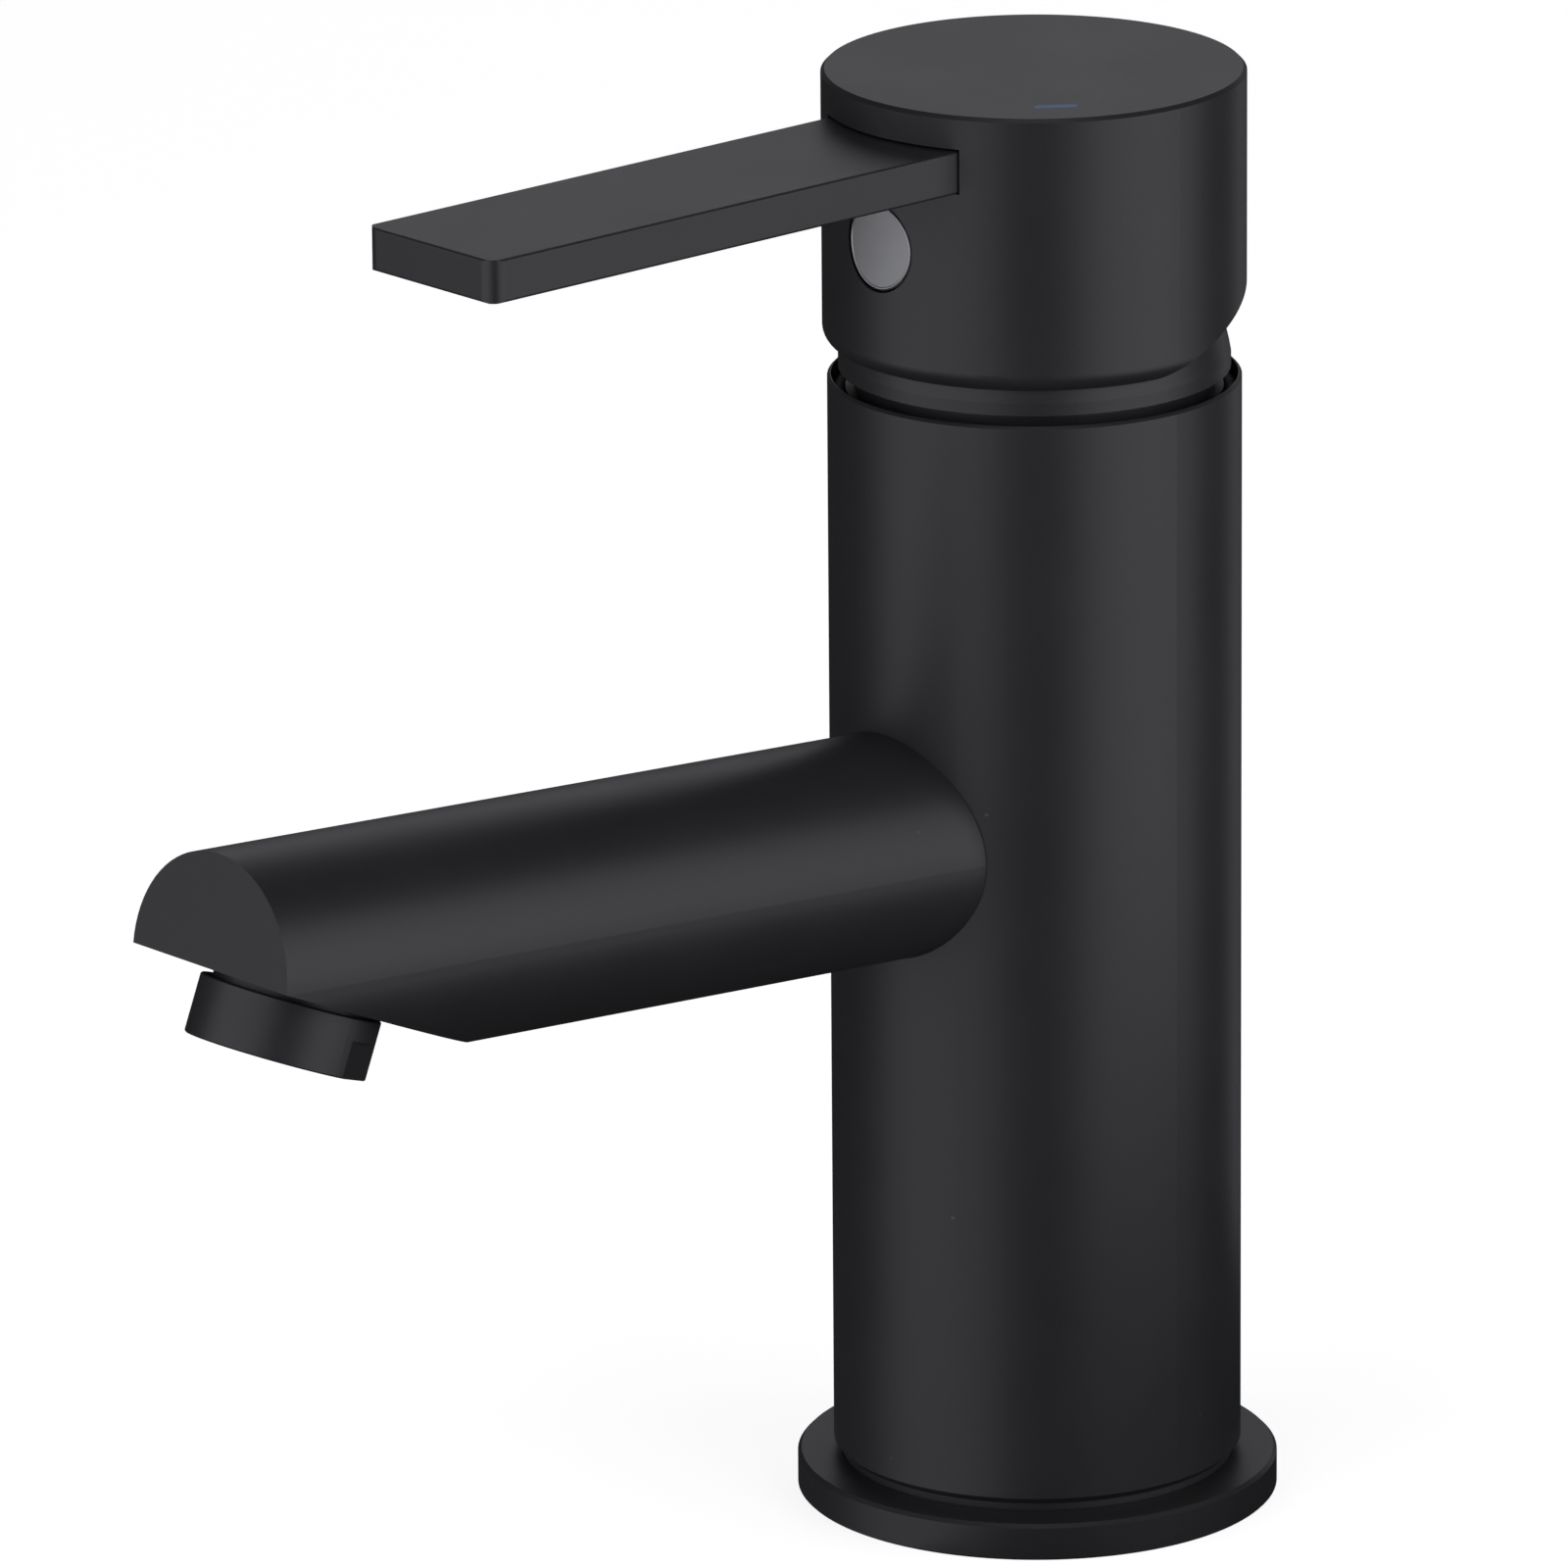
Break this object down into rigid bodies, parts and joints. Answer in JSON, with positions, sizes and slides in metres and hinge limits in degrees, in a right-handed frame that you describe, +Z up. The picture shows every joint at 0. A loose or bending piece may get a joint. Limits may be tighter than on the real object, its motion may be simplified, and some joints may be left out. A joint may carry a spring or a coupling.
{
  "type": "bathroom mixer faucet",
  "caption": "Single-lever basin mixer: upright cylindrical body on a base ring, rising tubular spout with sloping mouth, drum handle with a flat bar lever.",
  "frame": {"origin": "centre of the base ring's underside, on the body's axis", "axes": "+Z up along the body's axis, the spout and the lever point to -Y, +X to the right of someone who stands in front of the spout looking along +Y"},
  "size_m": [0.053, 0.1444, 0.1614],
  "materials": {
    "matt_black": "matt black powder coat, fine grain",
    "matt_black_fine": "matt black, fine",
    "seal_rubber": "black rubber",
    "grey_plastic": "grey plastic",
    "steel": "stainless steel",
    "cartridge_plastic": "off-white plastic",
    "rotor_plastic": "blue plastic",
    "stop_plastic": "red plastic",
    "ceramic": "polished ceramic",
    "brass": "machined brass",
    "button_satin": "satin grey plastic",
    "cold_blue": "muted blue enamel"
  },
  "bodies": {
    "root": {"body": "matt_black", "base_ring": "matt_black", "base_gasket": "seal_rubber", "spout": "matt_black", "spout_oring": "seal_rubber", "aerator_housing": "matt_black_fine", "aerator_insert": "grey_plastic", "aerator_screen": "steel", "aerator_washer": "seal_rubber", "cartridge_base": "cartridge_plastic", "base_seals": "seal_rubber", "disc_seals": "seal_rubber", "fixed_disc": "ceramic", "cartridge_housing": "cartridge_plastic", "temperature_stop": "stop_plastic", "retaining_nut": "brass", "dome_ring": "matt_black", "dome_oring": "seal_rubber"},
    "rotor_body": {"rotor": "rotor_plastic", "pivot_pin": "steel"},
    "disc_body": {"moving_disc": "ceramic", "disc_carrier": "cartridge_plastic"},
    "lever_body": {"spindle": "brass", "handle_cap": "matt_black", "lever": "matt_black", "lever_screw": "steel", "grub_screw": "steel", "index_button": "button_satin", "cold_index": "cold_blue"}
  },
  "joints": [
    {"name": "temperature_turn", "type": "hinge", "parent": "root", "child": "rotor_body", "pos_m": [0, 0, 0.1263], "axis": [0, 0, 1], "range_deg": [-45, 45]},
    {"name": "flow_lift", "type": "hinge", "parent": "rotor_body", "child": "lever_body", "pos_m": [0, 0, 0.1263], "axis": [-1, 0, 0], "range_deg": [0, 20]},
    {"name": "disc_slide", "type": "slide", "parent": "rotor_body", "child": "disc_body", "axis": [0, -1, 0], "range_m": [0, 0.00478]}
  ],
  "couplings": [
    {"joint": "disc_slide", "follows": "flow_lift", "m_per_rad": 0.0134}
  ]
}
